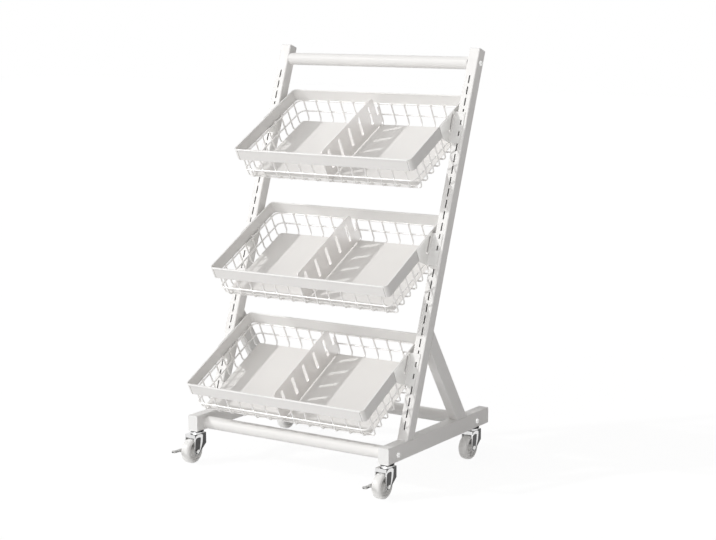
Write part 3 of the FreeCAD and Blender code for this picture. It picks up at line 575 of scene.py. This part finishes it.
def rim_lip(tier):
    """Rolled lip along the top of a rim, in a lighter copy of the rim's coat as a painted highlight, and dark
    strips as painted shade in the gaps beside its front panel.
    """
    spot = basket_spot(tier)
    rings = []
    for (x, depth), (a, b) in rim_path(LIP_INSET):
        ring = []
        for i in range(LIP_STEPS):
            turn = 2 * math.pi * i / LIP_STEPS
            out = LIP_WIDTH / 2 * math.cos(turn)
            ring.append(spot(x + a * out, depth + b * out, LIP_HEIGHT / 2 * (math.sin(turn) - 1)))
        rings.append(ring)
    shape = bmesh.new()
    skin(shape, rings, loop=True)
    skin(shape, [[spot(x, BASKET_DEPTH + out, height) for out, height in FRONT_LIP]
                 for x in (-FRONT_REACH, FRONT_REACH)])
    # the lip is a lighter copy of the rim's coat: a painted highlight
    add_piece(f"rim_lip_{tier}", shape, f"basket_{tier}", "rim_coat", MATERIALS["lip_painted_highlight"])
    # thin dark strips beside the front corners, painting the shade in the gaps between the panel and the
    # corners
    shape = bmesh.new()
    back, front = SEAM_DEPTHS
    for _, sign in SIDES:
        left = sign * (BASKET_HALF - SEAM_INSET) - SEAM_HALF
        right = sign * (BASKET_HALF - SEAM_INSET) + SEAM_HALF
        skin(shape, [[spot(left, back, height), spot(right, back, height),
                      spot(right, front, height), spot(left, front, height)] for height in SEAM_HEIGHTS])
    add_piece(f"panel_gap_shades_{tier}", shape, f"basket_{tier}", "rim_coat", MATERIALS["gap_painted_shade"])


# how far sharp edges are rounded, in millimetres
CAP_ROUNDING = {"rail_end_caps": 1.0, "upright_caps": 1.0}
BASKET_ROUNDING = {"rim": 0.5, "divider": 0.35, "liner": 0.4}
BRACKET_ROUNDING = 0.4


def is_cheek(face):
    """1 for the faces of a bracket that face sideways, which get a lighter, metallic copy of the bracket's
    coat: a painted highlight.
    """
    return int(abs(face.normal.x) > SIDEWAYS)


def add_pieces():
    for name, width in CAP_ROUNDING.items():
        soften(name, width)
    for tier in TIERS:
        for part, width in BASKET_ROUNDING.items():
            soften(f"basket_{tier}_{part}", width)
    for tier in TIERS:
        for wires in ("hoops", "long_wires", "cross_wires"):
            smooth_copy(f"basket_{tier}_{wires}")
        weld_beads(tier)
        rim_lip(tier)
        for side, _ in SIDES:
            # the brackets' sideways faces get the lighter copy of the coat, a painted highlight
            soften(f"bracket_{tier}_{side}", BRACKET_ROUNDING, MATERIALS["bracket_coat"],
                   MATERIALS["cheek_painted_highlight"], choose=is_cheek)
    for bar in BARS:
        smooth_copy(bar)
    frame_bolts()
    for end in ENDS:
        for side, _ in SIDES:
            fork(end, side)
            axle(end, side)
            hub(end, side)
            tyre(end, side)
    for side, _ in SIDES:
        pedal(side)


def add_camera():
    """Camera at the photograph's place, level sideways."""
    azimuth = math.radians(CAMERA_AZIMUTH)
    elevation = math.radians(CAMERA_ELEVATION)
    back = Vector((math.sin(azimuth) * math.cos(elevation), -math.cos(azimuth) * math.cos(elevation),
                   math.sin(elevation)))
    right = Vector((0, 0, 1)).cross(back).normalized()
    turn = Matrix((right, back.cross(right), back)).transposed()
    data = bpy.data.cameras.new("camera")
    data.sensor_width = SENSOR_WIDTH
    data.lens = FOCAL_PIXELS / IMAGE_WIDTH * SENSOR_WIDTH
    data.clip_end = CLIP_END
    camera = bpy.data.objects.new("camera", data)
    camera.matrix_world = Matrix.Translation(CAMERA_PLACE) @ turn.to_4x4()
    scene.collection.objects.link(camera)
    scene.camera = camera


def add_sun(name, direction, strength, angle):
    data = bpy.data.lights.new(name, "SUN")
    data.energy = strength
    data.angle = math.radians(angle)
    lamp = bpy.data.objects.new(name, data)
    lamp.rotation_euler = Vector(direction).to_track_quat("-Z", "Y").to_euler()
    scene.collection.objects.link(lamp)


def seen_directly(tree):
    """1 for rays that show the background: seen by the camera, in gloss or through glass."""
    path = tree.nodes.new("ShaderNodeLightPath")
    total = path.outputs["Is Camera Ray"]
    for word in ("Is Glossy Ray", "Is Transmission Ray"):
        larger = tree.nodes.new("ShaderNodeMath")
        larger.operation = "MAXIMUM"
        tree.links.new(total, larger.inputs[0])
        tree.links.new(path.outputs[word], larger.inputs[1])
        total = larger.outputs[0]
    return total


def add_world():
    """Even light from all round, and white behind the object."""
    world = bpy.data.worlds.new("studio")
    world.use_nodes = True
    scene.world = world
    tree = world.node_tree
    tree.nodes.clear()
    shades = []
    for strength, colour in ((AMBIENT, AMBIENT_COLOUR), (BACKDROP, BACKDROP_COLOUR)):
        shade = tree.nodes.new("ShaderNodeBackground")
        shade.inputs["Color"].default_value = (*colour, 1)
        shade.inputs["Strength"].default_value = strength
        shades.append(shade)
    mix = tree.nodes.new("ShaderNodeMixShader")
    out = tree.nodes.new("ShaderNodeOutputWorld")
    tree.links.new(seen_directly(tree), mix.inputs["Fac"])
    tree.links.new(shades[0].outputs[0], mix.inputs[1])
    tree.links.new(shades[1].outputs[0], mix.inputs[2])
    tree.links.new(mix.outputs[0], out.inputs["Surface"])


def add_floor():
    """Pale floor that reads as white, keeps a faint shadow and throws light back up."""
    mesh = bpy.data.meshes.new("floor")
    half = FLOOR_SIZE / 2
    corners = [(-half, -half, 0), (half, -half, 0), (half, half, 0), (-half, half, 0)]
    mesh.from_pydata(corners, [], [(0, 1, 2, 3)])
    floor = bpy.data.objects.new("floor", mesh)
    scene.collection.objects.link(floor)
    material = bpy.data.materials.new("floor_white")
    material.use_nodes = True
    tree = material.node_tree
    tree.nodes.clear()
    bounce, seen = (tree.nodes.new("ShaderNodeBsdfDiffuse") for _ in range(2))
    bounce.inputs["Color"].default_value = (*[FLOOR_BOUNCE] * 3, 1)
    seen.inputs["Color"].default_value = (*[FLOOR_SEEN] * 3, 1)
    glow = tree.nodes.new("ShaderNodeEmission")
    glow.inputs["Strength"].default_value = FLOOR_GLOW
    both = tree.nodes.new("ShaderNodeAddShader")
    mix = tree.nodes.new("ShaderNodeMixShader")
    out = tree.nodes.new("ShaderNodeOutputMaterial")
    tree.links.new(seen.outputs[0], both.inputs[0])
    tree.links.new(glow.outputs[0], both.inputs[1])
    tree.links.new(seen_directly(tree), mix.inputs["Fac"])
    tree.links.new(bounce.outputs[0], mix.inputs[1])
    tree.links.new(both.outputs[0], mix.inputs[2])
    tree.links.new(mix.outputs[0], out.inputs["Surface"])
    mesh.materials.append(material)


paint_cad_nodes()
add_pieces()
add_camera()
add_sun("key", KEY_DIRECTION, KEY_STRENGTH, KEY_ANGLE)
add_sun("front", FRONT_DIRECTION, FRONT_STRENGTH, FRONT_ANGLE)
add_sun("top", TOP_DIRECTION, TOP_STRENGTH, TOP_ANGLE)
add_world()
add_floor()
scene.view_settings.view_transform = "Standard"
